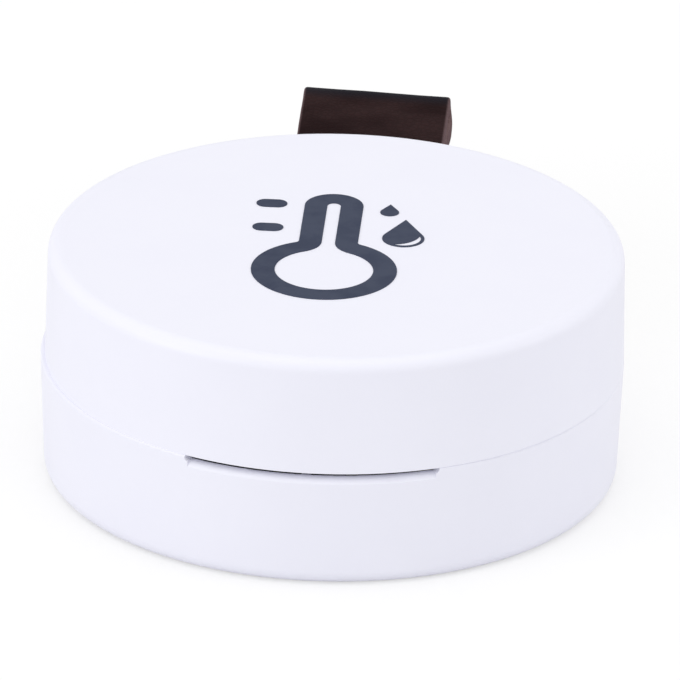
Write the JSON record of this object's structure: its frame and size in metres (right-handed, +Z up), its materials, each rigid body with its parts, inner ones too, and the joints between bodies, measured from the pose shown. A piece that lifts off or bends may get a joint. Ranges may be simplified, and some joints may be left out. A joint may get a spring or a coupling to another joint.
{
  "type": "temperature humidity sensor",
  "caption": "Round white battery-powered temperature and humidity sensor with a lift-off lid, rim vent, printed thermometer symbol and leather hanging loop.",
  "frame": {"origin": "centre of the case's flat underside, on the axis of the round case", "axes": "+Z up through the lid, -Y towards the vent in the rim, +Y towards the leather loop, +X to the right seen from the vent"},
  "size_m": [0.04, 0.0623, 0.0167],
  "materials": {
    "white_shell": "satin",
    "symbol_ink": "matte",
    "strap_leather": "satin",
    "board_laminate": "satin",
    "screw_steel": "satin",
    "contact_steel": "satin",
    "cell_steel": "satin",
    "cell_seal": "matte",
    "cell_lithium": "matte",
    "cell_pellet": "matte",
    "holder_plastic": "satin",
    "chip_black": "matte",
    "crystal_can": "satin",
    "gilded_copper": "satin",
    "lamp_resin": "satin",
    "plunger_plastic": "satin",
    "capacitor_body": "matte"
  },
  "bodies": {
    "base": {"case_base": "white_shell", "circuit_board": "board_laminate", "board_screws": "screw_steel", "cell_holder": "holder_plastic", "positive_contact": "contact_steel", "negative_contact": "contact_steel", "cell_can": "cell_steel", "cell_cap": "cell_steel", "cell_gasket": "cell_seal", "cell_anode": "cell_lithium", "cell_cathode": "cell_pellet", "humidity_sensor": "chip_black", "radio_chip": "chip_black", "radio_crystal": "crystal_can", "clock_crystal": "crystal_can", "antenna_trace": "gilded_copper", "status_led": "lamp_resin", "switch_body": "chip_black", "switch_dome": "contact_steel", "switch_cover": "contact_steel", "chip_capacitors": "capacitor_body", "chip_resistors": "chip_black", "strap_root": "strap_leather"},
    "lid": {"case_lid": "white_shell", "printed_symbol": "symbol_ink"},
    "plunger": {"switch_plunger": "plunger_plastic"},
    "strap": {"strap_loop": "strap_leather"}
  },
  "joints": [
    {"name": "lid_lift", "type": "slide", "parent": "base", "child": "lid", "axis": [0, 0, 1], "range_m": [0, 0.02]},
    {"name": "switch_press", "type": "slide", "parent": "base", "child": "plunger", "axis": [0, 0, -1], "range_m": [0, 0.00025], "stiffness_N_per_m": 400, "deforming": ["switch_dome"]},
    {"name": "strap_bend", "type": "hinge", "parent": "base", "child": "strap", "pos_m": [0, 0.0219, 0.007], "axis": [1, 0, 0], "range_deg": [-18, 50], "stiffness_Nm_per_rad": 0.006}
  ]
}
